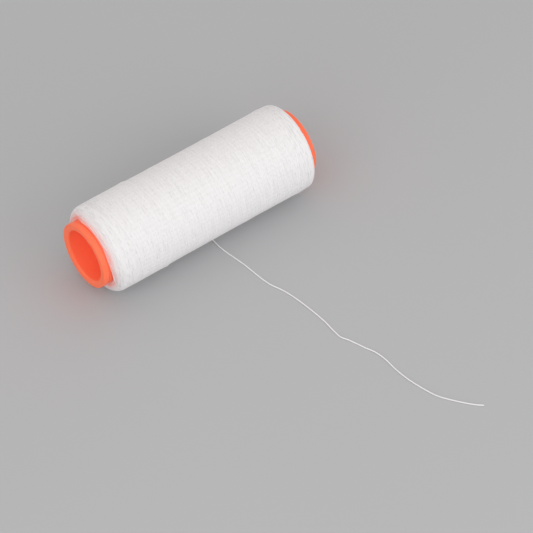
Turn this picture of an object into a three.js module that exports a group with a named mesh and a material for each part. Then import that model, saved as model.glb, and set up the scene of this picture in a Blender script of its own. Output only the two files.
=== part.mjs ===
// String reel: a cross-wound package of racket string on a moulded plastic winding tube, lying on its side, with the
// loose end of the string drawn out across the table. All lengths are millimetres.
//
// Frame: X along the tube, Y across it, Z up. The origin is on the table, straight below the middle of the tube.
// The -X end of the tube is the one with the longer bare collar.

import * as THREE from 'three';

// Winding tube: a plain tube with a low lip and a thread groove at each end
const TUBE_LENGTH = 170;
const TUBE_RADIUS = 22.7;
const TUBE_SIDES = 64;
const LIP_RADIUS = 22.95;
const LIP_WIDTH = 4;
const GROOVE_WIDTH = 0.8;
const GROOVE_RADIUS = 22.3;
const RIM_EDGE = 1.2;
const RIM_FACE_INNER_RADIUS = 19.8;
const BORE_RADIUS = 17.9;
const BORE_BEVEL_DEPTH = 0.8;

// Winding: one closed ring of the package's outer shape, with flats so that it rests on the table
const WINDING_RADIUS = 30.6;
const WINDING_SIDES = 24;
const WINDING_SHOULDER = 5;
const SHOULDER_STEPS = 4;
const COLLAR_AT_MINUS_X = 6.8;
const COLLAR_AT_PLUS_X = 4.9;
const CLEARANCE = 0.3;

// Loose end of the string
const STRING_DIAMETER = 0.9;
const STRING_SIDES = 8;
const STRING_STEPS = 78;
const TABLE_GAP = 0.02;

// Centre line of the loose end on the table, from under the winding to the cut tip: [x, y]
const TAIL_ROUTE = [
  [5.2, -8.7],
  [5.4, -16.5],
  [5.6, -25],
  [6.7, -32.5],
  [9.2, -45.9],
  [10.8, -59.9],
  [12.4, -68.9],
  [16.4, -79.4],
  [19, -90.8],
  [20.9, -104.4],
  [21.8, -115.8],
  [21.7, -125.7],
  [22.1, -132.1],
  [24.7, -137.2],
  [29, -148.1],
  [32.1, -155.3],
  [33.6, -163.2],
  [33.9, -175.1],
  [35.2, -185.7],
  [38, -197.2],
  [41.2, -206.7],
  [46.9, -215.7],
  [53.2, -223.8],
  [57.3, -228.3],
  [60.6, -231.2],
];

// Derived places
const TUBE_END = TUBE_LENGTH / 2;
const AXIS_HEIGHT = WINDING_RADIUS;
const WINDING_START = -TUBE_END + COLLAR_AT_MINUS_X;
const WINDING_END = TUBE_END - COLLAR_AT_PLUS_X;

const plastic = new THREE.MeshStandardMaterial({ color: 0xfb6f45, roughness: 0.45, metalness: 0 });
const whiteString = new THREE.MeshStandardMaterial({ color: 0xf1efec, roughness: 0.55, metalness: 0 });

// A solid turned about the X axis from [x, radius] points: the outside from -X to +X, then the inside back again.
// The sides are turned half a step so that flats, not corners, face up and down.
function turnedAboutX(profile, sides) {
  const points = profile.map(([x, radius]) => new THREE.Vector2(radius, x));
  points.push(points[0].clone());
  const geometry = new THREE.LatheGeometry(points, sides, Math.PI / sides);
  geometry.rotateZ(-Math.PI / 2);
  return geometry;
}

// The outside of one end of the tube, from the rim face inwards; side is -1 or +1 along X
function tubeEndOutside(side) {
  const fromRim = (depth, radius) => [side * (TUBE_END - depth), radius];
  const points = [
    fromRim(0, RIM_FACE_INNER_RADIUS),
    fromRim(0, LIP_RADIUS - RIM_EDGE),
    fromRim(RIM_EDGE, LIP_RADIUS),
    fromRim(LIP_WIDTH, LIP_RADIUS),
    fromRim(LIP_WIDTH, GROOVE_RADIUS),
    fromRim(LIP_WIDTH + GROOVE_WIDTH, GROOVE_RADIUS),
    fromRim(LIP_WIDTH + GROOVE_WIDTH, TUBE_RADIUS),
  ];
  return side < 0 ? points : points.reverse();
}

function windingTube() {
  const boreEnd = TUBE_END - BORE_BEVEL_DEPTH;
  const profile = [
    ...tubeEndOutside(-1),
    ...tubeEndOutside(1),
    [boreEnd, BORE_RADIUS],
    [-boreEnd, BORE_RADIUS],
  ];
  return turnedAboutX(profile, TUBE_SIDES);
}

// A quarter-circle shoulder of the winding, from its end face up to its full radius; side is -1 or +1 along X
function shoulder(endX, side) {
  const points = [];
  for (let step = 0; step <= SHOULDER_STEPS; step += 1) {
    const angle = (step / SHOULDER_STEPS) * (Math.PI / 2);
    const inset = WINDING_SHOULDER * (1 - Math.sin(angle));
    const drop = WINDING_SHOULDER * (1 - Math.cos(angle));
    points.push([endX - side * drop, WINDING_RADIUS - inset]);
  }
  return side < 0 ? points : points.reverse();
}

function stringWinding() {
  const innerRadius = TUBE_RADIUS + CLEARANCE;
  const profile = [
    [WINDING_START, innerRadius],
    ...shoulder(WINDING_START, -1),
    ...shoulder(WINDING_END, 1),
    [WINDING_END, innerRadius],
  ];
  const flatToCorner = 1 / Math.cos(Math.PI / WINDING_SIDES);
  const corners = profile.map(([x, radius]) => [x, radius * flatToCorner]);
  return turnedAboutX(corners, WINDING_SIDES);
}

function stringTail() {
  const height = STRING_DIAMETER / 2 + TABLE_GAP;
  const route = TAIL_ROUTE.map(([x, y]) => new THREE.Vector3(x, y, height));
  const section = new THREE.Shape();
  for (let side = 0; side < STRING_SIDES; side += 1) {
    const angle = (side / STRING_SIDES) * 2 * Math.PI;
    const x = (STRING_DIAMETER / 2) * Math.cos(angle);
    const y = (STRING_DIAMETER / 2) * Math.sin(angle);
    if (side === 0) section.moveTo(x, y);
    else section.lineTo(x, y);
  }
  return new THREE.ExtrudeGeometry(section, {
    steps: STRING_STEPS,
    bevelEnabled: false,
    extrudePath: new THREE.CatmullRomCurve3(route, false, 'centripetal'),
  });
}

function namedMesh(name, geometry, material) {
  const mesh = new THREE.Mesh(geometry, material);
  mesh.name = name;
  return mesh;
}

// The turned pieces share one axis, at the height that lays the winding on the table
const turnedPieces = new THREE.Group();
turnedPieces.position.z = AXIS_HEIGHT;
turnedPieces.add(namedMesh('winding_tube', windingTube(), plastic));
turnedPieces.add(namedMesh('string_winding', stringWinding(), whiteString));

const stringReel = new THREE.Group();
stringReel.add(turnedPieces);
stringReel.add(namedMesh('string_tail', stringTail(), whiteString));

export default stringReel;
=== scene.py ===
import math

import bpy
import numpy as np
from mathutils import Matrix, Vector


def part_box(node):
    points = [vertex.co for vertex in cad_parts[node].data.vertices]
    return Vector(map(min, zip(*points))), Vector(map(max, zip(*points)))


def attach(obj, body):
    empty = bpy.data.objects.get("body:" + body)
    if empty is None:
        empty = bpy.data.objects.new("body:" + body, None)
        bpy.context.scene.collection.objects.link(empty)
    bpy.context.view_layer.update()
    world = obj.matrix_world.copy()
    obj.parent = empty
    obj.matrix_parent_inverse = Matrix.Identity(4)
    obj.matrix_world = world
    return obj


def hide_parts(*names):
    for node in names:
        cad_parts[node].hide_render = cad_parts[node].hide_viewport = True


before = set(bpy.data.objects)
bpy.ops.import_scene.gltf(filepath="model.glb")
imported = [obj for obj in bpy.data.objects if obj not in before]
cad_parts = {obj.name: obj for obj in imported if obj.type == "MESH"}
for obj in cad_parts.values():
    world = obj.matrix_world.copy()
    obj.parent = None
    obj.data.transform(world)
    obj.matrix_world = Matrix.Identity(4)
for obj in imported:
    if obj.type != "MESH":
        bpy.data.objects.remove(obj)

# String reel: cross-wound string on a moulded orange tube, with its loose end drawn out across the table.
# Frame: X along the tube, Y across it, Z up, origin on the table straight below the middle of the tube.
# Lengths are millimetres up to the point where they become a mesh, a light or a camera.

MM = 0.001
TURN = 2 * math.pi
DEG = math.pi / 180

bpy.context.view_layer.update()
tube_low, tube_high = [Vector(corner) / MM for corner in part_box("winding_tube")]
winding_low, winding_high = [Vector(corner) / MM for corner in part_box("string_winding")]

AXIS_HEIGHT = (tube_low.z + tube_high.z) / 2
TUBE_END = tube_high.x
WINDING_START = winding_low.x
WINDING_END = winding_high.x

rng = np.random.default_rng(20)


# ---- Camera ----

CAMERA_AZIMUTH = -36.638
CAMERA_ELEVATION = 48.738
CAMERA_DISTANCE = 2657.09
CAMERA_TARGET = Vector((19.464, -56.208, 1.22))
CAMERA_LENS = 276.3


def from_angles(azimuth, elevation):
    """Unit vector towards a viewer. Azimuth 0 is the -Y side; elevation is above the table."""
    flat = math.cos(elevation * DEG)
    return Vector((
        math.sin(azimuth * DEG) * flat,
        -math.cos(azimuth * DEG) * flat,
        math.sin(elevation * DEG),
    ))


camera = bpy.data.objects.new("camera", bpy.data.cameras.new("camera"))
bpy.context.scene.collection.objects.link(camera)
camera.data.lens = CAMERA_LENS
camera.data.clip_start = 0.1
camera.data.clip_end = 20
camera.location = (CAMERA_TARGET + from_angles(CAMERA_AZIMUTH, CAMERA_ELEVATION) * CAMERA_DISTANCE) * MM
camera.rotation_euler = ((90 - CAMERA_ELEVATION) * DEG, 0, CAMERA_AZIMUTH * DEG)
bpy.context.scene.camera = camera


# ---- Materials ----

def new_material(name):
    """A material with its node tree and its main shader."""
    material = bpy.data.materials.new(name)
    material.use_nodes = True
    tree = material.node_tree
    return material, tree, tree.nodes["Principled BSDF"]


def add_node(tree, kind, inputs=None, **settings):
    """A node with some inputs set: a number is a value, a socket is a link."""
    node = tree.nodes.new("ShaderNode" + kind)
    for key, value in settings.items():
        setattr(node, key, value)
    for key, value in (inputs or {}).items():
        if isinstance(value, bpy.types.NodeSocket):
            tree.links.new(value, node.inputs[key])
        else:
            node.inputs[key].default_value = value
    return node


def math_node(tree, operation, first, second=0.0, third=0.0):
    """The output of one Math node."""
    return add_node(tree, "Math", {0: first, 1: second, 2: third}, operation=operation).outputs[0]


def colour_ramp(tree, factor, low, high):
    """The colour between low and high at a factor from 0 to 1."""
    ramp = add_node(tree, "ValToRGB", {0: factor})
    ramp.color_ramp.elements[0].color = (*low, 1)
    ramp.color_ramp.elements[1].color = (*high, 1)
    return ramp.outputs[0]


# Twist of the string: three plies, one turn in PLY_PITCH. Their lines lean by PLY_SLANT across the string
PLY_COUNT = 3
PLY_PITCH = 5.4
PLY_SLANT = 1.6

# Darkest and lightest colour of each material
STRING_COLOURS = ((0.815, 0.80, 0.805), (0.893, 0.878, 0.886))
PACKED_COLOURS = ((0.805, 0.79, 0.795), (0.885, 0.87, 0.878))
PLASTIC_COLOURS = ((0.98, 0.195, 0.092), (1.0, 0.215, 0.105))
FLOOR_COLOURS = ((0.455, 0.46, 0.47), (0.475, 0.48, 0.49))

STRING_SHINE = 0.2
PLASTIC_SHINE = 0.12

# How far light goes under the plastic's surface, and the share of red, green and blue that does
PLASTIC_DEPTH = 1.5
PLASTIC_SCATTER = (1.0, 0.22, 0.1)

# A day-glow pigment gives back part of the light it takes in as red. Here that is painted as a small
# constant red glow, which also brightens shaded parts such as the inside of the bore
PAINTED_GLOW = 0.1
PAINTED_GLOW_COLOUR = (1.0, 0.09, 0.04)

# Painted orange light: string close to the tube is coloured for the tube's orange light that shines through
# it and reflects into it, full at the inner radius, none at the outer
PAINTED_BLEED_INNER = 23.3
PAINTED_BLEED_OUTER = 29.5
PAINTED_BLEED_COLOUR = (1.0, 0.42, 0.37)


def with_painted_tube_light(tree, place, colour, share):
    """The colour, turned towards painted orange light from the tube by nearness to the tube's surface and by
    a share from 0 to 1.
    """
    parts = add_node(tree, "SeparateXYZ", {0: place})
    height = math_node(tree, "SUBTRACT", parts.outputs[2], AXIS_HEIGHT * MM)
    flat = add_node(tree, "CombineXYZ", {0: parts.outputs[1], 1: height})
    radius = add_node(tree, "VectorMath", {0: flat.outputs[0]}, operation="LENGTH").outputs["Value"]
    near = add_node(tree, "MapRange", {
        "Value": radius,
        "From Min": PAINTED_BLEED_OUTER * MM,
        "From Max": PAINTED_BLEED_INNER * MM,
    })
    streaks = add_node(tree, "TexNoise", {"Vector": place, "Scale": 420, "Detail": 2})
    amount = math_node(tree, "POWER", near.outputs[0], 1.7)
    amount = math_node(tree, "MULTIPLY", amount, math_node(tree, "ADD", streaks.outputs[0], 0.25))
    amount = math_node(tree, "MULTIPLY", amount, math_node(tree, "MULTIPLY_ADD", share, 1.7, 0.15))
    mix = add_node(tree, "Mix", {0: amount}, data_type="RGBA")
    tree.links.new(colour, mix.inputs["A"])
    mix.inputs["B"].default_value = (*PAINTED_BLEED_COLOUR, 1)
    return mix.outputs["Result"]


def string_material():
    """White twisted string. "strand" holds metres along the string, metres across it, and a shade."""
    material, tree, shader = new_material("white_string")
    strand = add_node(tree, "Attribute", attribute_name="strand")
    parts = add_node(tree, "SeparateXYZ", {0: strand.outputs["Vector"]})
    along, across, shade = parts.outputs

    place = add_node(tree, "TexCoord").outputs["Object"]
    mottle = add_node(tree, "TexNoise", {"Vector": place, "Scale": 180, "Detail": 4, "Roughness": 0.6})
    tone = math_node(tree, "MULTIPLY_ADD", mottle.outputs[0], 0.5, math_node(tree, "MULTIPLY", shade, 0.5))
    colour = colour_ramp(tree, tone, *STRING_COLOURS)
    # Painted orange light from the tube near its surface, in streaks and varying by strand
    tree.links.new(with_painted_tube_light(tree, place, colour, shade), shader.inputs["Base Color"])

    slant = math_node(tree, "MULTIPLY_ADD", across, PLY_SLANT, along)
    plies = math_node(tree, "SINE", math_node(tree, "MULTIPLY", slant, TURN * PLY_COUNT / (PLY_PITCH * MM)))
    fibres = add_node(tree, "TexNoise", {"Vector": place, "Scale": 2600, "Detail": 3})
    relief = math_node(tree, "MULTIPLY_ADD", plies, 0.35, fibres.outputs[0])
    bump = add_node(tree, "Bump", {"Height": relief, "Strength": 0.35, "Distance": 0.06 * MM})
    tree.links.new(bump.outputs[0], shader.inputs["Normal"])

    rough = math_node(tree, "MULTIPLY_ADD", fibres.outputs[0], 0.25, 0.5)
    tree.links.new(rough, shader.inputs["Roughness"])
    shader.inputs["Specular IOR Level"].default_value = STRING_SHINE
    return material


def inner_string_material():
    """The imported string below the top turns: fine ridges round the package."""
    material, tree, shader = new_material("packed_string")
    strand = add_node(tree, "Attribute", attribute_name="strand")
    parts = add_node(tree, "SeparateXYZ", {0: strand.outputs["Vector"]})
    drawn_out = add_node(tree, "CombineXYZ", {
        0: math_node(tree, "MULTIPLY", parts.outputs[0], 60),
        1: math_node(tree, "MULTIPLY", parts.outputs[1], 1100),
    })
    ridges = add_node(tree, "TexNoise", {"Vector": drawn_out.outputs[0], "Scale": 1, "Detail": 3})
    colour = colour_ramp(tree, ridges.outputs[0], *PACKED_COLOURS)
    place = add_node(tree, "TexCoord").outputs["Object"]
    # Painted orange light from the tube near its surface, in streaks along the ridges
    tree.links.new(with_painted_tube_light(tree, place, colour, ridges.outputs[0]), shader.inputs["Base Color"])
    bump = add_node(tree, "Bump", {"Height": ridges.outputs[0], "Strength": 0.7, "Distance": 0.3 * MM})
    tree.links.new(bump.outputs[0], shader.inputs["Normal"])
    rough = math_node(tree, "MULTIPLY_ADD", ridges.outputs[0], 0.2, 0.5)
    tree.links.new(rough, shader.inputs["Roughness"])
    shader.inputs["Specular IOR Level"].default_value = STRING_SHINE
    return material


def plastic_material():
    """Day-glow orange moulded plastic, a little translucent, with a soft gloss and a small painted red glow.
    """
    material, tree, shader = new_material("orange_plastic")
    place = add_node(tree, "TexCoord").outputs["Object"]
    cloud = add_node(tree, "TexNoise", {"Vector": place, "Scale": 60, "Detail": 3})
    colour = colour_ramp(tree, cloud.outputs[0], *PLASTIC_COLOURS)
    tree.links.new(colour, shader.inputs["Base Color"])
    grain = add_node(tree, "TexNoise", {"Vector": place, "Scale": 1800, "Detail": 2})
    bump = add_node(tree, "Bump", {"Height": grain.outputs[0], "Strength": 0.12, "Distance": 0.02 * MM})
    tree.links.new(bump.outputs[0], shader.inputs["Normal"])
    rough = math_node(tree, "MULTIPLY_ADD", cloud.outputs[0], 0.12, 0.32)
    tree.links.new(rough, shader.inputs["Roughness"])
    shader.inputs["Specular IOR Level"].default_value = PLASTIC_SHINE
    shader.inputs["Subsurface Weight"].default_value = 0.2
    shader.inputs["Subsurface Radius"].default_value = PLASTIC_SCATTER
    shader.inputs["Subsurface Scale"].default_value = PLASTIC_DEPTH * MM
    # Painted glow: a constant red light from the plastic itself, whatever light falls on it
    shader.inputs["Emission Color"].default_value = (*PAINTED_GLOW_COLOUR, 1)
    shader.inputs["Emission Strength"].default_value = PAINTED_GLOW
    return material


def floor_material():
    """Plain pale studio surface, with the faintest unevenness."""
    material, tree, shader = new_material("studio_floor")
    place = add_node(tree, "TexCoord").outputs["Object"]
    cloud = add_node(tree, "TexNoise", {"Vector": place, "Scale": 3, "Detail": 2})
    colour = colour_ramp(tree, cloud.outputs[0], *FLOOR_COLOURS)
    tree.links.new(colour, shader.inputs["Base Color"])
    shader.inputs["Roughness"].default_value = 0.75
    return material


white_string = string_material()
packed_string = inner_string_material()
orange_plastic = plastic_material()


# ---- Mesh tools ----

def add_piece(name, points, faces, material, node, strand=None):
    """A smooth mesh piece on the one body, which stands for a CAD node. Points are millimetres."""
    mesh = bpy.data.meshes.new(name)
    mesh.from_pydata((np.asarray(points) * MM).tolist(), [], faces)
    mesh.polygons.foreach_set("use_smooth", [True] * len(mesh.polygons))
    mesh.materials.append(material)
    if strand is not None:
        layer = mesh.attributes.new("strand", "FLOAT_VECTOR", "POINT")
        layer.data.foreach_set("vector", np.asarray(strand, dtype=np.float32).ravel())
    mesh.update()
    piece = bpy.data.objects.new(name, mesh)
    bpy.context.scene.collection.objects.link(piece)
    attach(piece, "root")
    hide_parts(node)
    return piece


def unit(vectors):
    """The vectors, each at length 1."""
    return vectors / np.linalg.norm(vectors, axis=-1, keepdims=True)


def ring_faces(rings, sides, first=0):
    """Quads between neighbouring rings of points, closed round each ring."""
    row = np.arange(rings - 1)[:, None] * sides + first
    side = np.arange(sides)[None, :]
    after = (side + 1) % sides
    quads = np.stack([row + side, row + after, row + sides + after, row + sides + side], axis=-1)
    return quads.reshape(-1, 4).tolist()


def closed_faces(rings, sides):
    """Quads between neighbouring rings, and between the last ring and the first."""
    faces = ring_faces(rings, sides)
    last = (rings - 1) * sides
    for side in range(sides):
        after = (side + 1) % sides
        faces.append([last + side, last + after, after, side])
    return faces


class Strands:
    """Gathers swept runs of string, to become one mesh."""

    def __init__(self):
        self.points = []
        self.faces = []
        self.strand = []
        self.count = 0

    def sweep(self, path, normals, section, shade, travelled=0.0):
        """One run: section holds each ring's [across, outwards] points. Gives the string's length so far."""
        tangents = unit(np.gradient(path, axis=0))
        across = unit(np.cross(tangents, normals))
        outwards = np.cross(across, tangents)
        rings, sides = section.shape[:2]
        points = (
            path[:, None, :]
            + section[:, :, :1] * across[:, None, :]
            + section[:, :, 1:] * outwards[:, None, :]
        )
        steps = np.linalg.norm(np.diff(path, axis=0), axis=1)
        along = travelled + np.concatenate([[0], np.cumsum(steps)])
        strand = np.zeros((rings, sides, 3))
        strand[:, :, 0] = along[:, None] * MM
        strand[:, :, 1] = section[:, :, 0] * MM
        strand[:, :, 2] = shade
        self.points.append(points.reshape(-1, 3))
        self.strand.append(strand.reshape(-1, 3))
        self.faces += ring_faces(rings, sides, self.count)
        last = self.count + (rings - 1) * sides
        self.faces.append(list(range(self.count + sides - 1, self.count - 1, -1)))
        self.faces.append(list(range(last, last + sides)))
        self.count += rings * sides
        return along[-1]

    def piece(self, name, material, node):
        """The runs so far, as one piece."""
        points = np.concatenate(self.points)
        strand = np.concatenate(self.strand)
        return add_piece(name, points, self.faces, material, node, strand)


def flat_section(rings, sides, width, height):
    """The same flattened round section at every ring."""
    angle = np.arange(sides) / sides * TURN
    ring = np.stack([np.cos(angle) * width / 2, np.sin(angle) * height / 2], axis=-1)
    return np.repeat(ring[None], rings, axis=0)


def catmull_rom(points, samples):
    """A centripetal Catmull-Rom curve through the points, with samples between each pair."""
    points = np.asarray(points, dtype=float)
    ends = np.vstack([2 * points[0] - points[1], points, 2 * points[-1] - points[-2]])
    curve = []
    for before, start, end, after in zip(ends, ends[1:], ends[2:], ends[3:]):
        knots = [0.0]
        for first, second in ((before, start), (start, end), (end, after)):
            knots.append(knots[-1] + math.sqrt(np.linalg.norm(second - first)))
        t0, t1, t2, t3 = knots
        t = np.linspace(t1, t2, samples, endpoint=False)[:, None]
        a1 = ((t1 - t) * before + (t - t0) * start) / (t1 - t0)
        a2 = ((t2 - t) * start + (t - t1) * end) / (t2 - t1)
        a3 = ((t3 - t) * end + (t - t2) * after) / (t3 - t2)
        b1 = ((t2 - t) * a1 + (t - t0) * a2) / (t2 - t0)
        b2 = ((t3 - t) * a2 + (t - t1) * a3) / (t3 - t1)
        curve.append(((t2 - t) * b1 + (t - t1) * b2) / (t2 - t1))
    curve.append(points[-1:])
    return np.concatenate(curve)


def evenly(curve, spacing):
    """The same curve with points at even distances."""
    steps = np.linalg.norm(np.diff(curve, axis=0), axis=1)
    along = np.concatenate([[0], np.cumsum(steps)])
    wanted = np.linspace(0, along[-1], int(round(along[-1] / spacing)) + 1)
    return np.stack([np.interp(wanted, along, curve[:, axis]) for axis in range(curve.shape[1])], axis=-1)


# ---- String tail: the loose end on the table, from under the winding to the cut tip ----

STRING_DIAMETER = 0.9
TABLE_GAP = 0.02
TAIL_SIDES = 18
TAIL_STEP = 0.45
TAIL_CURVE_SAMPLES = 16
TAIL_SHADE = 0.9
# Each ply stands out of the string's round by this part of its radius, above and below the mean
PLY_RELIEF = 0.06
TIP_LENGTH = 0.9
TIP_TAPER = 1.0
# Centre line, in metres: where it leaves the winding, a point further under the reel, and the whole route
TAIL_UNDER_REEL = (0.0050, -0.0020)
TAIL_ROUTE = [
    (0.0052, -0.0087),
    (0.0054, -0.0165),
    (0.0056, -0.0250),
    (0.0067, -0.0325),
    (0.0092, -0.0459),
    (0.0108, -0.0599),
    (0.0124, -0.0689),
    (0.0164, -0.0794),
    (0.0190, -0.0908),
    (0.0209, -0.1044),
    (0.0218, -0.1158),
    (0.0217, -0.1257),
    (0.0221, -0.1321),
    (0.0247, -0.1372),
    (0.0290, -0.1481),
    (0.0321, -0.1553),
    (0.0336, -0.1632),
    (0.0339, -0.1751),
    (0.0352, -0.1857),
    (0.0380, -0.1972),
    (0.0412, -0.2067),
    (0.0469, -0.2157),
    (0.0532, -0.2238),
    (0.0573, -0.2283),
    (0.0606, -0.2312),
]


def string_tail():
    """A twisted three-ply string, flat on the table, a little rounded at the cut tip."""
    flat = evenly(catmull_rom([TAIL_UNDER_REEL] + TAIL_ROUTE, TAIL_CURVE_SAMPLES) / MM, TAIL_STEP)
    rings = len(flat)
    height = STRING_DIAMETER / 2 + TABLE_GAP
    path = np.column_stack([flat, np.full(rings, height)])
    along = np.arange(rings) * TAIL_STEP
    angle = np.arange(TAIL_SIDES) / TAIL_SIDES * TURN
    lay_angle = along / PLY_PITCH * TURN
    lobes = 1 - PLY_RELIEF + PLY_RELIEF * np.cos(PLY_COUNT * (angle[None, :] - lay_angle[:, None]))
    to_tip = (rings - 1 - np.arange(rings)) * TAIL_STEP
    into_tip = np.maximum(TIP_LENGTH - to_tip, 0)
    tip = np.sqrt(np.clip(1 - (into_tip / TIP_TAPER) ** 2, 0.05, 1))
    radius = STRING_DIAMETER / 2 * lobes * tip[:, None]
    section = np.stack([np.cos(angle) * radius, np.sin(angle) * radius], axis=-1)
    tail = Strands()
    tail.sweep(path, np.tile([0.0, 0.0, 1.0], (rings, 1)), section, TAIL_SHADE)
    piece = tail.piece("string_end", white_string, "string_tail")


string_tail()


# ---- Winding tube: moulded plastic, with a lip and a thread groove at each end ----

TUBE_SIDES = 144
TUBE_RADIUS = 22.7
LIP_RADIUS = 22.95
LIP_WIDTH = 4
GROOVE_WIDTH = 0.8
GROOVE_RADIUS = 22.3
RIM_FACE_INNER_RADIUS = 19.8
BORE_RADIUS = 17.9
BORE_BEVEL_DEPTH = 0.8
RIM_ROUNDING = 0.9
# Corners of one end, from the bore round the rim to the body: depth from the rim, radius, rounding
TUBE_END_CORNERS = [
    (BORE_BEVEL_DEPTH, BORE_RADIUS, 1.0),
    (0, RIM_FACE_INNER_RADIUS, 0.7),
    (0, LIP_RADIUS, RIM_ROUNDING),
    (LIP_WIDTH, LIP_RADIUS, 0.22),
    (LIP_WIDTH + 0.08, GROOVE_RADIUS, 0.15),
    (LIP_WIDTH + GROOVE_WIDTH, GROOVE_RADIUS, 0.2),
    (LIP_WIDTH + GROOVE_WIDTH, TUBE_RADIUS, 0.2),
]
CORNER_STEPS = 5
# Distance of the extra points from the ends of a straight run, which keep its smooth shading flat
SUPPORT = 0.18


def rounded_profile(corners):
    """A closed [x, radius] profile with rounded corners, and points near both ends of each straight run."""
    arcs = []
    for index, (x, radius, rounding) in enumerate(corners):
        corner = np.array([x, radius])
        before = np.array(corners[index - 1][:2])
        after = np.array(corners[(index + 1) % len(corners)][:2])
        start = corner + unit(before - corner) * rounding
        end = corner + unit(after - corner) * rounding
        t = np.linspace(0, 1, CORNER_STEPS + 1)[:, None]
        arcs.append((1 - t) ** 2 * start + 2 * t * (1 - t) * corner + t ** 2 * end)
    profile = []
    for index, arc in enumerate(arcs):
        following = arcs[(index + 1) % len(arcs)][0]
        profile += arc.tolist()
        run = following - arc[-1]
        if np.linalg.norm(run) > 3 * SUPPORT:
            profile.append((arc[-1] + unit(run) * SUPPORT).tolist())
            profile.append((following - unit(run) * SUPPORT).tolist())
    return profile


def lathe(profile, sides):
    """Points and faces of a closed profile turned about the reel's axis."""
    profile = np.asarray(profile)
    angle = np.arange(sides) / sides * TURN
    x = np.repeat(profile[:, :1], sides, axis=1)
    y = profile[:, 1:] * np.cos(angle)
    z = AXIS_HEIGHT + profile[:, 1:] * np.sin(angle)
    points = np.stack([x, y, z], axis=-1).reshape(-1, 3)
    return points, closed_faces(len(profile), sides)


def winding_tube():
    """The whole moulding, turned in one piece."""
    minus_end = [(depth - TUBE_END, radius, r) for depth, radius, r in TUBE_END_CORNERS]
    plus_end = [(TUBE_END - depth, radius, r) for depth, radius, r in reversed(TUBE_END_CORNERS)]
    points, faces = lathe(rounded_profile(minus_end + plus_end), TUBE_SIDES)
    add_piece("tube_moulding", points, faces, orange_plastic, "winding_tube")


winding_tube()


# ---- Shape of the package, as a line [x, radius] from its foot at the -X end to its foot at the +X end ----

FOOT_RADIUS = 23.0
# Place of each end face along the tube, and each shoulder's length along the tube and depth
MINUS_FACE = WINDING_START + 0.7
PLUS_FACE = WINDING_END
MINUS_SHOULDER = (6.2, 5.8)
PLUS_SHOULDER = (3.6, 4.2)
FACE_POINTS = 8
SHOULDER_POINTS = 18
BODY_POINTS = 320
# Radius along the package: its first quarter is a little thicker, and ends in a ridge and a step down
RADIUS_ALONG = [
    (-79, 30.4),
    (-60, 30.55),
    (-42, 30.45),
    (-40, 30.5),
    (-38, 30.7),
    (-35.5, 30.15),
    (10, 30.0),
    (64, 30.15),
    (70, 30.45),
    (73, 30.1),
    (81, 29.8),
]


def package_radius(x):
    """Radius of the package at a place along the tube, away from its shoulders."""
    return np.interp(x, [place for place, _ in RADIUS_ALONG], [radius for _, radius in RADIUS_ALONG])


def shoulder(face, side, size):
    """An end face, and the quarter of an ellipse from it up to the full radius; side is -1 or +1."""
    length, drop = size
    top = float(package_radius(face - side * length))
    angle = np.linspace(0, math.pi / 2, SHOULDER_POINTS)
    x = face - side * length * (1 - np.cos(angle))
    radius = top - drop * (1 - np.sin(angle))
    face_radii = np.linspace(FOOT_RADIUS, top - drop, FACE_POINTS)[:-1]
    return [[face, r] for r in face_radii] + np.column_stack([x, radius]).tolist()


def package_profile():
    """Points along the outline, from foot to foot."""
    minus = shoulder(MINUS_FACE, -1, MINUS_SHOULDER)
    plus = shoulder(PLUS_FACE, 1, PLUS_SHOULDER)[::-1]
    places = np.linspace(minus[-1][0], plus[0][0], BODY_POINTS)[1:-1]
    body = [[x, float(package_radius(x))] for x in places]
    return np.array(minus + body + plus)


profile = package_profile()
profile_steps = np.linalg.norm(np.diff(profile, axis=0), axis=1)
profile_s = np.concatenate([[0], np.cumsum(profile_steps)])
PROFILE_LENGTH = profile_s[-1]
profile_tangent = unit(np.gradient(profile, profile_s, axis=0))
profile_normal = np.stack([-profile_tangent[:, 1], profile_tangent[:, 0]], axis=-1)

# Slight unevenness of the package. Low ridges round it: place along the tube, height and width
RIDGES = [(x, rng.uniform(-0.09, 0.07), rng.uniform(2.5, 6)) for x in np.linspace(-72, 76, 22)]
# It is not quite round: it has two slightly high sides, and one slightly low one
OVAL = 0.06
LOW_SIDE = 0.12
LOW_SIDE_CENTRE = 40 * DEG
# The package sags out a little on its lower front
SAG = 0.75
SAG_CENTRE = 216 * DEG
SAG_HALF_WIDTH = 24 * DEG
SAG_SOFTNESS = 0.4

# Towards FACING, the foot of the -X shoulder spreads out along the tube: by FOOT_SHIFT at the foot itself,
# and by nothing from FOOT_REACH up the outline
FACING = 118 * DEG
FACING_HALF_WIDTH = 64 * DEG
FACING_SOFTNESS = 0.3
FOOT_SHIFT = 2.6
FOOT_REACH = 8.0


def turned_by(phi, centre):
    """Angle from centre, from -pi to pi."""
    return (phi - centre + math.pi) % TURN - math.pi


def window(value, half_width, soft):
    """1 inside the half width, 0 outside it, with a soft edge."""
    t = np.clip((half_width + soft - np.abs(value)) / (2 * soft), 0, 1)
    return t * t * (3 - 2 * t)


def unevenness(x, phi):
    """Height above the package's outline at a place along the tube and an angle round it."""
    rise = np.zeros(np.broadcast(x, phi).shape)
    for place, height, width in RIDGES:
        rise = rise + height * np.exp(-((x - place) / width) ** 2)
    rise = rise + OVAL * np.cos(2 * phi + x / 60)
    rise = rise - LOW_SIDE * window(turned_by(phi, LOW_SIDE_CENTRE), 0.5, 0.5)
    rise = rise + SAG * window(turned_by(phi, SAG_CENTRE), SAG_HALF_WIDTH, SAG_SOFTNESS)
    return rise


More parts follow.
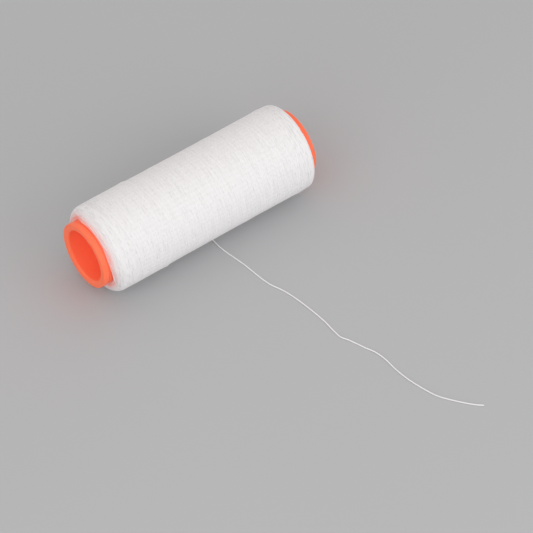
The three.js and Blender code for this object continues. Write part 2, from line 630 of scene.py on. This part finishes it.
def on_package(s, phi, depth):
    """Points, and outward directions, at a depth below the package's outline."""
    s = np.clip(s, 0, PROFILE_LENGTH)
    x, radius = [np.interp(s, profile_s, profile[:, axis]) for axis in (0, 1)]
    out_x, out_r = [np.interp(s, profile_s, profile_normal[:, axis]) for axis in (0, 1)]
    radius = radius + out_r * (unevenness(x, phi) - depth)
    foot = np.clip(1 - s / FOOT_REACH, 0, 1)
    facing = window(turned_by(phi, FACING), FACING_HALF_WIDTH, FACING_SOFTNESS)
    x = x - out_x * depth - FOOT_SHIFT * foot * facing
    # The table flattens the underside: no point is lower than a run of string lying on it
    above_table = AXIS_HEIGHT - np.maximum(depth, RUN_THICKNESS / 2 + TABLE_CLEARANCE)
    radius = np.minimum(radius, above_table / np.maximum(-np.sin(phi), 0.5))
    points = np.stack([x, radius * np.cos(phi), AXIS_HEIGHT + radius * np.sin(phi)], axis=-1)
    outwards = np.stack([out_x, out_r * np.cos(phi), out_r * np.sin(phi)], axis=-1)
    return points, outwards


# ---- String winding: every run lies on the runs before it ----

RUN_WIDTH = 0.86
RUN_THICKNESS = 0.5
# Runs bed into the ones below: however many it crosses, a run stands at most this much above the lowest
BEDDING = 0.24
RUN_SIDES = 6
RUN_STEP = 3.0
TABLE_CLEARANCE = 0.06
MEAN_RADIUS = 30.2
# Spread of the runs' shades, which set each run's tone and its share of painted orange light: most are close
# to one end or the other
SHADES = (0.4, 0.4)
# The map holds the height of the string laid so far, by place along the outline and angle round the package
MAP_STEP = 0.25
MAP_COLUMNS = 380
# Points on the map for each step of a run
MAP_FINENESS = 7
# Places across a run where string below can hold it up
CONTACTS = (-0.3, -0.12, 0.12, 0.3)
# A run is stiff: over a dip it keeps this part of the height on both sides
BRIDGING = 0.92

height_map = np.zeros((int(PROFILE_LENGTH / MAP_STEP) + 8, MAP_COLUMNS))


def map_place(s, phi):
    """Row and column of the height map."""
    row = np.clip(np.round(s / MAP_STEP).astype(int), 0, height_map.shape[0] - 1)
    column = np.floor(phi / TURN * MAP_COLUMNS).astype(int) % MAP_COLUMNS
    return row, column


def lay_run(s, phi):
    """Lays a run of string on the map, and gives the height of its underside at each point."""
    under = np.max([height_map[map_place(s + aside, phi)] for aside in CONTACTS], axis=0)
    padded = np.concatenate([under[:1], under, under[-1:]])
    bridge = np.maximum(np.maximum(padded[:-2], padded[2:]), under)
    bridge = np.concatenate([bridge[:1], bridge, bridge[-1:]])
    bridge = (bridge[:-2] + bridge[1:-1] + bridge[2:]) / 3
    under = np.maximum(under, bridge * BRIDGING)
    fine = np.linspace(0, len(s) - 1, (len(s) - 1) * MAP_FINENESS + 1)
    index = np.arange(len(s))
    fine_s, fine_phi, fine_under = [np.interp(fine, index, values) for values in (s, phi, under)]
    for aside in np.arange(-RUN_WIDTH / 2, RUN_WIDTH / 2 + 0.01, MAP_STEP / 2):
        crown = math.sqrt(max(0.0, 1 - (2 * aside / RUN_WIDTH) ** 2))
        top = fine_under + RUN_THICKNESS * (0.5 + 0.5 * crown)
        np.maximum.at(height_map, map_place(fine_s + aside, fine_phi), top)
    return under


def wander(count, spacing, size):
    """Slow sideways drift along a run."""
    knots = rng.normal(0, size, int(count / spacing) + 3)
    place = np.arange(count) / spacing
    low = place.astype(int)
    part = place - low
    part = part * part * (3 - 2 * part)
    return knots[low] * (1 - part) + knots[low + 1] * part


# Reversal arcs of the deeper layers, on both end faces and shoulders, up to FACE_TOP along the outline
FACE_ARCS = 110
FACE_TOP = 9.5
FACE_RADIUS = 27
ARC_HALF_SPANS = (16, 38)
ARC_BOWS = (0.2, 1.4)
ARC_WANDER = 0.15
# Both ends of an arc go down into the package by this much
ARC_SINK = 1.1


def face_arcs():
    """Runs of the reversal arcs, each with how far it is sunk into the package along its length."""
    runs = []
    for end in (0, 1):
        for _ in range(FACE_ARCS):
            middle = rng.uniform(0, TURN)
            half_span = rng.uniform(*ARC_HALF_SPANS) * DEG
            count = max(7, int(2 * half_span * FACE_RADIUS / RUN_STEP))
            t = np.linspace(-1, 1, count)
            edge = rng.uniform(0.5, FACE_TOP)
            s = edge + rng.uniform(*ARC_BOWS) * t * t + ARC_WANDER * wander(count, 4, 1)
            s = np.maximum(s, 0.45)
            phi = middle + half_span * t
            if end:
                s = PROFILE_LENGTH - s
            sink = ARC_SINK * np.clip((np.abs(t) - 0.6) / 0.4, 0, 1) ** 2
            runs.append((s, phi, lay_run(s, phi), sink))
    return runs


# The cross-wound turns of the top layers. The pattern closes after DOUBLE_TRAVERSES there-and-back traverses
DOUBLE_TRAVERSES = 28
TURNS_PER_TRAVERSE = 7 + 9 / 56
# A traverse turns back this far along the outline from each foot
TRAVERSE_MARGIN = 5.2
REVERSAL_ROUNDING = 1.9
# Each reversal is up to this far from its place, which fades out over REVERSAL_FADE along the outline
REVERSAL_SCATTER = 1.6
REVERSAL_FADE = 7
TURN_WANDER = 0.07
# The last turn leaves the package here, at its underside, and goes on as the loose end
LAST_TURN_X = 5.1


def traverse_s(travel):
    """Place along the outline after a number of traverses, with a rounded reversal at each end."""
    length = PROFILE_LENGTH - 2 * TRAVERSE_MARGIN
    folded = np.abs((travel + 1) % 2 - 1) * length
    from_start = np.sqrt(folded ** 2 + REVERSAL_ROUNDING ** 2) - folded
    from_end = np.sqrt((length - folded) ** 2 + REVERSAL_ROUNDING ** 2) - (length - folded)
    return TRAVERSE_MARGIN + folded + from_start - from_end


def crossing_turns():
    """Runs from one end of the package to the other, in the order they were wound."""
    length = PROFILE_LENGTH - 2 * TRAVERSE_MARGIN
    last_s = float(np.interp(LAST_TURN_X, profile[:, 0][20:-20], profile_s[20:-20]))
    last_part = (last_s - TRAVERSE_MARGIN) / length
    total = 2 * DOUBLE_TRAVERSES + last_part
    total_angle = total * TURNS_PER_TRAVERSE * TURN
    start_angle = -math.pi / 2 + total_angle
    end_shift = rng.uniform(-REVERSAL_SCATTER, REVERSAL_SCATTER, 2 * DOUBLE_TRAVERSES + 3)
    runs = []
    for number in range(2 * DOUBLE_TRAVERSES + 1):
        part = 1.0 if number < 2 * DOUBLE_TRAVERSES else last_part
        count = int(part * TURNS_PER_TRAVERSE * TURN * MEAN_RADIUS / RUN_STEP) + 1
        travel = number + np.linspace(0, part, count)
        s = traverse_s(travel)
        from_first = (travel - number) * length
        from_last = length - from_first
        s = s + end_shift[number] * np.exp(-from_first / REVERSAL_FADE)
        s = s + end_shift[number + 1] * np.exp(-from_last / REVERSAL_FADE)
        s = s + wander(count, 6, TURN_WANDER) * np.clip(np.minimum(from_first, from_last) / 4, 0, 1)
        phi = start_angle - travel * TURNS_PER_TRAVERSE * TURN
        runs.append((s, phi, lay_run(s, phi), np.zeros(count)))
    return runs


def string_winding():
    """The pieces of the winding that are made of single runs. Gives the height of the stack of runs."""
    arcs = face_arcs()
    turns = crossing_turns()
    stack = RUN_THICKNESS + BEDDING

    def sweep_all(runs, name):
        strands = Strands()
        travelled = 0.0
        for s, phi, under, sink in runs:
            middle = RUN_THICKNESS / 2 + BEDDING * (1 - np.exp(-under / (2.2 * BEDDING)))
            path, outwards = on_package(s, phi, stack - middle + sink)
            section = flat_section(len(s), RUN_SIDES, RUN_WIDTH, RUN_THICKNESS)
            travelled = strands.sweep(path, outwards, section, rng.beta(*SHADES), travelled)
        strands.piece(name, white_string, "string_winding")

    sweep_all(arcs, "winding_end_turns")
    sweep_all(turns[:DOUBLE_TRAVERSES], "winding_lower_turns")
    sweep_all(turns[DOUBLE_TRAVERSES:], "winding_top_turns")
    return stack


CORE_SIDES = 240
CORE_RINGS = 400
CORE_GAP = 0.1
# The core's outside reaches this far up into the stack of runs
CORE_REACH = 0.36


def packed_core(depth):
    """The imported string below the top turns: a closed ring, its outside a little uneven."""
    s = np.linspace(0, PROFILE_LENGTH, CORE_RINGS)
    phi = np.arange(CORE_SIDES) / CORE_SIDES * TURN
    s_grid, phi_grid = np.meshgrid(s, phi, indexing="ij")
    outside, _ = on_package(s_grid, phi_grid, np.full(s_grid.shape, depth))
    radius = np.hypot(outside[..., 1], outside[..., 2] - AXIS_HEIGHT)
    inner_radius = TUBE_RADIUS + CORE_GAP
    lift = np.maximum(inner_radius, radius) / radius
    outside[..., 1] *= lift
    outside[..., 2] = AXIS_HEIGHT + (outside[..., 2] - AXIS_HEIGHT) * lift
    strand = np.stack([phi_grid * MEAN_RADIUS * MM, s_grid * MM, np.zeros(s_grid.shape)], axis=-1)
    inside = outside[[-1, 0]].copy()
    inside[..., 1] = inner_radius * np.cos(phi)
    inside[..., 2] = AXIS_HEIGHT + inner_radius * np.sin(phi)
    rings = np.concatenate([outside, inside])
    strand = np.concatenate([strand, strand[[-1, 0]]])
    add_piece(
        "winding_core",
        rings.reshape(-1, 3),
        closed_faces(len(rings), CORE_SIDES),
        packed_string,
        "string_winding",
        strand.reshape(-1, 3),
    )


stack_height = string_winding()
packed_core(stack_height - CORE_REACH)


# ---- Loose reversal turns over the bare tube, behind the lip on the -X end ----

LOOSE_TURNS = 30
LOOSE_START = -79.75
LOOSE_SPREAD = 2.6
LOOSE_RADIUS = 24
LOOSE_STEP = 2.0
# Ranges of the middles, from FACING, and of the half spans, in degrees
LOOSE_MIDDLES = (-42, 60)
LOOSE_HALF_SPANS = (24, 42)
# At its ends an arc is this much further along the tube, and this much higher
LOOSE_BOWS = (0.5, 2.2)
LOOSE_RISES = (1.5, 3.5)
LOOSE_LAYERS = 3


def loose_turns():
    """Arcs that lie on the tube in the middle and rise into the package at both ends."""
    strands = Strands()
    for number in range(LOOSE_TURNS):
        middle = FACING + rng.uniform(*LOOSE_MIDDLES) * DEG
        half_span = rng.uniform(*LOOSE_HALF_SPANS) * DEG
        count = int(2 * half_span * LOOSE_RADIUS / LOOSE_STEP)
        t = np.linspace(-1, 1, count)
        x = LOOSE_START + rng.uniform(0, LOOSE_SPREAD) + rng.uniform(*LOOSE_BOWS) * t * t
        lowest = TUBE_RADIUS + RUN_THICKNESS / 2 + 0.02
        layer = RUN_THICKNESS * (number % LOOSE_LAYERS)
        radius = lowest + layer + rng.uniform(*LOOSE_RISES) * np.abs(t) ** 3
        phi = middle + half_span * t
        path = np.stack([x, radius * np.cos(phi), AXIS_HEIGHT + radius * np.sin(phi)], axis=-1)
        outwards = np.stack([np.zeros(count), np.cos(phi), np.sin(phi)], axis=-1)
        section = flat_section(count, RUN_SIDES, RUN_WIDTH * 0.9, RUN_THICKNESS)
        strands.sweep(path, outwards, section, rng.beta(*SHADES))
    strands.piece("winding_loose_turns", white_string, "string_winding")


loose_turns()


# ---- Studio: pale floor and soft light ----

# Metres, watts and degrees
FLOOR_SIZE = 6.0
LIGHT_DISTANCE = 1.6
LIGHT_SIZE = 1.5
LIGHT_TARGET = Vector((0, 0, 0.03))
# Name, azimuth, elevation, power, colour
LIGHTS = [
    ("key", 20, 20, 9.0, (0.97, 0.995, 1.0)),
    ("left", -60, 30, 6.4, (0.99, 1.0, 1.0)),
    ("back", 180, 60, 1.3, (1.0, 0.86, 0.82)),
]
WORLD_COLOUR = (1.0, 0.977, 0.968)
WORLD_STRENGTH = 0.73


def studio_floor():
    """One flat square round the origin."""
    half = FLOOR_SIZE / 2
    corners = [(-half, -half, 0), (half, -half, 0), (half, half, 0), (-half, half, 0)]
    mesh = bpy.data.meshes.new("studio_floor")
    mesh.from_pydata(corners, [], [(0, 1, 2, 3)])
    mesh.materials.append(floor_material())
    floor = bpy.data.objects.new("studio_floor", mesh)
    bpy.context.scene.collection.objects.link(floor)


def area_light(name, azimuth, elevation, power, colour):
    """A soft square light that faces the reel."""
    light = bpy.data.lights.new(name, "AREA")
    light.size = LIGHT_SIZE
    light.energy = power
    light.color = colour
    lamp = bpy.data.objects.new(name, light)
    towards = from_angles(azimuth, elevation)
    lamp.location = towards * LIGHT_DISTANCE + LIGHT_TARGET
    lamp.rotation_euler = towards.to_track_quat("Z", "Y").to_euler()
    bpy.context.scene.collection.objects.link(lamp)


def studio_world():
    """Even light from all round."""
    world = bpy.data.worlds.new("studio")
    world.use_nodes = True
    sky = world.node_tree.nodes["Background"]
    sky.inputs["Color"].default_value = (*WORLD_COLOUR, 1)
    sky.inputs["Strength"].default_value = WORLD_STRENGTH
    bpy.context.scene.world = world


studio_floor()
studio_world()
for light_settings in LIGHTS:
    area_light(*light_settings)

scene = bpy.context.scene
scene.view_settings.view_transform = "Standard"
scene.view_settings.look = "None"
scene.view_settings.exposure = 0
scene.view_settings.gamma = 1
